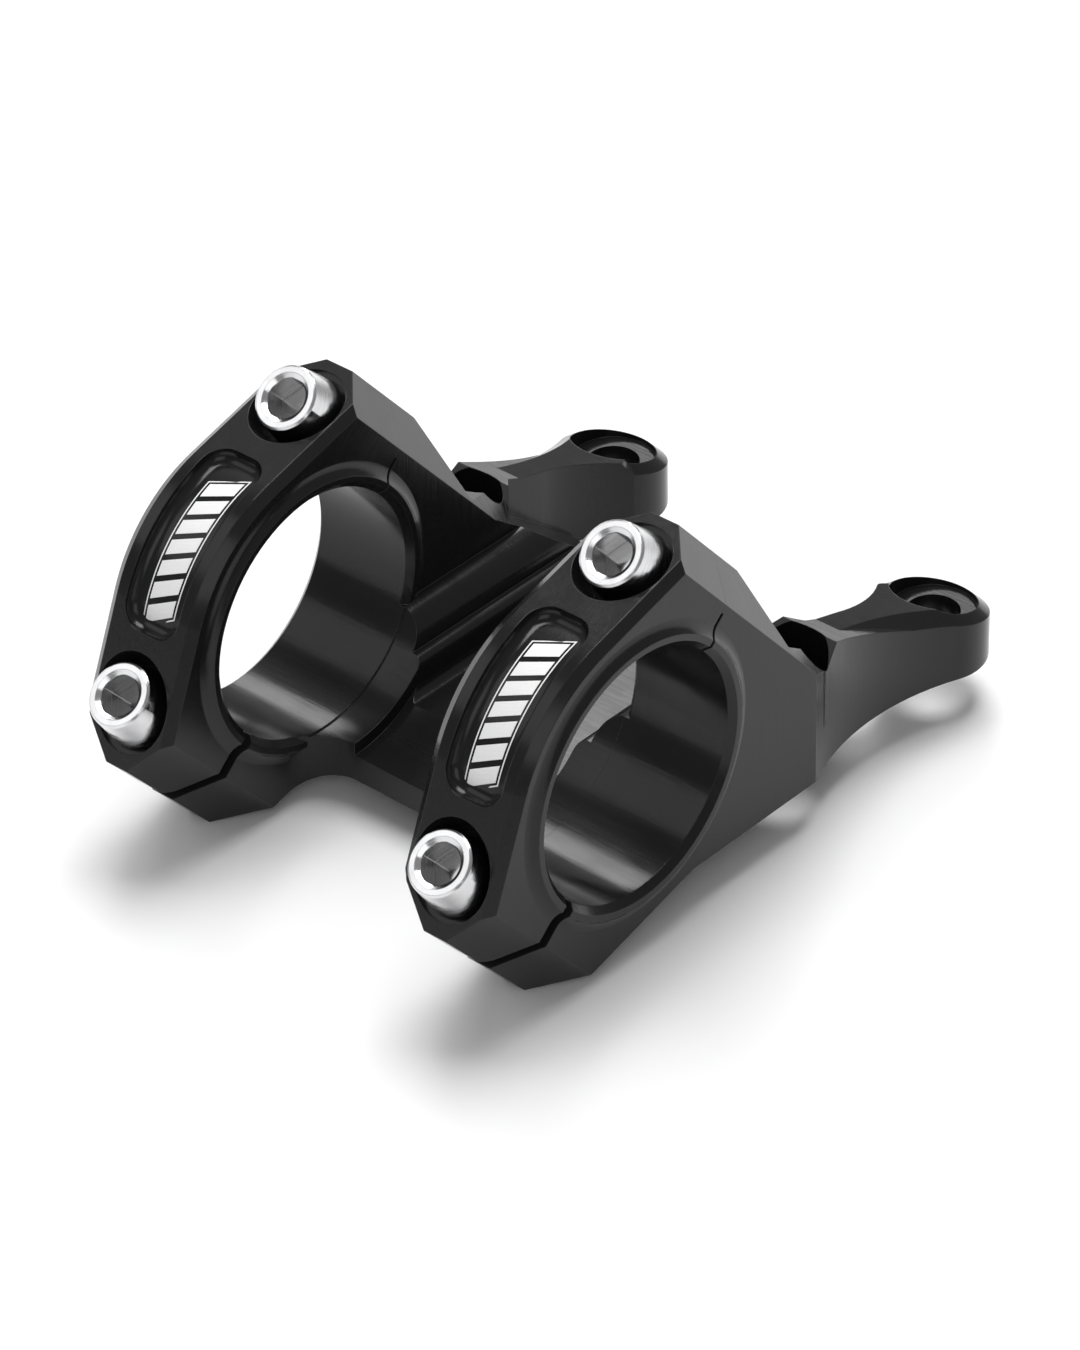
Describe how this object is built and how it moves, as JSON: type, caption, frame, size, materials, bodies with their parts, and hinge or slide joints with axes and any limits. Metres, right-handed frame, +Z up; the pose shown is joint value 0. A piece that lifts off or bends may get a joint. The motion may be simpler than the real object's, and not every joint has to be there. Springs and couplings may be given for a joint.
{
  "type": "handlebar stem",
  "caption": "Direct-mount bicycle handlebar stem: one machined body with twin bar clamps, a trough web and two arms, closed by removable front caps on socket screws.",
  "frame": {"origin": "centre of the four crown holes, on the flat mounting plane", "axes": "+X along the handlebar, +Y rearward away from the bar, +Z up off the crown"},
  "size_m": [0.065, 0.0972, 0.0528],
  "materials": {
    "anodised_body": "satin black anodised, machined",
    "anodised_cap": "satin black anodised, machined",
    "screw_steel": "turned bright steel",
    "mark_white": "flat white print"
  },
  "bodies": {
    "body": {"stem_body": "anodised_body"},
    "left_cap": {"left_cap": "anodised_cap"},
    "right_cap": {"right_cap": "anodised_cap"},
    "left_upper_screw": {"left_upper_screw": "screw_steel"},
    "left_lower_screw": {"left_lower_screw": "screw_steel"},
    "right_upper_screw": {"right_upper_screw": "screw_steel"},
    "right_lower_screw": {"right_lower_screw": "screw_steel"}
  },
  "joints": [
    {"name": "left_cap_lift", "type": "slide", "parent": "body", "child": "left_cap", "axis": [0, -0.6639, 0.7478], "range_m": [0, 0.022]},
    {"name": "right_cap_lift", "type": "slide", "parent": "body", "child": "right_cap", "axis": [0, -0.6639, 0.7478], "range_m": [0, 0.022]},
    {"name": "left_upper_screw_out", "type": "slide", "parent": "left_cap", "child": "left_upper_screw", "axis": [0, -0.6639, 0.7478], "range_m": [0, 0.026]},
    {"name": "left_lower_screw_out", "type": "slide", "parent": "left_cap", "child": "left_lower_screw", "axis": [0, -0.6639, 0.7478], "range_m": [0, 0.026]},
    {"name": "right_upper_screw_out", "type": "slide", "parent": "right_cap", "child": "right_upper_screw", "axis": [0, -0.6639, 0.7478], "range_m": [0, 0.026]},
    {"name": "right_lower_screw_out", "type": "slide", "parent": "right_cap", "child": "right_lower_screw", "axis": [0, -0.6639, 0.7478], "range_m": [0, 0.026]}
  ]
}
